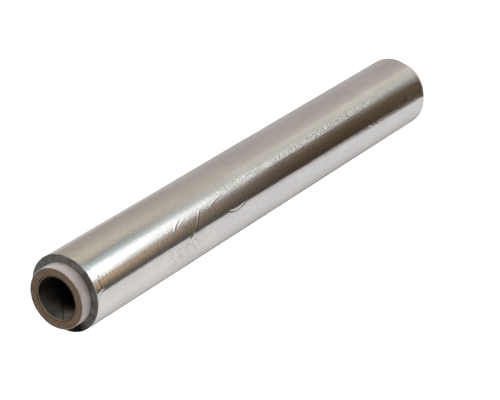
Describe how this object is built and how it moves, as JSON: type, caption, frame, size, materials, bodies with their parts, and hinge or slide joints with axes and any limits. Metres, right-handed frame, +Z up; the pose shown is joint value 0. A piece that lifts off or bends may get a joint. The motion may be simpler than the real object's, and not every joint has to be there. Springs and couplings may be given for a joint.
{
  "type": "aluminium foil roll",
  "caption": "Roll of aluminium kitchen foil wound on a thick spiral board core that stands out past the foil at both ends, standing on one end.",
  "frame": {"origin": "centre of the core's lower end face, which the roll stands on", "axes": "+Z up along the core's axis; the roll is round, so X and Y are any two directions across it"},
  "size_m": [0.04, 0.04, 0.313],
  "materials": {
    "foil": "bright rolled foil, faintly crinkled, with fine lines round the roll",
    "core_board": "brown recycled board, cut off square, with its plies showing",
    "core_paper": "matt off-white paper ply"
  },
  "bodies": {
    "root": {"foil_winding": "foil", "core_tube": "core_board", "core_facing": "core_paper"}
  },
  "joints": []
}
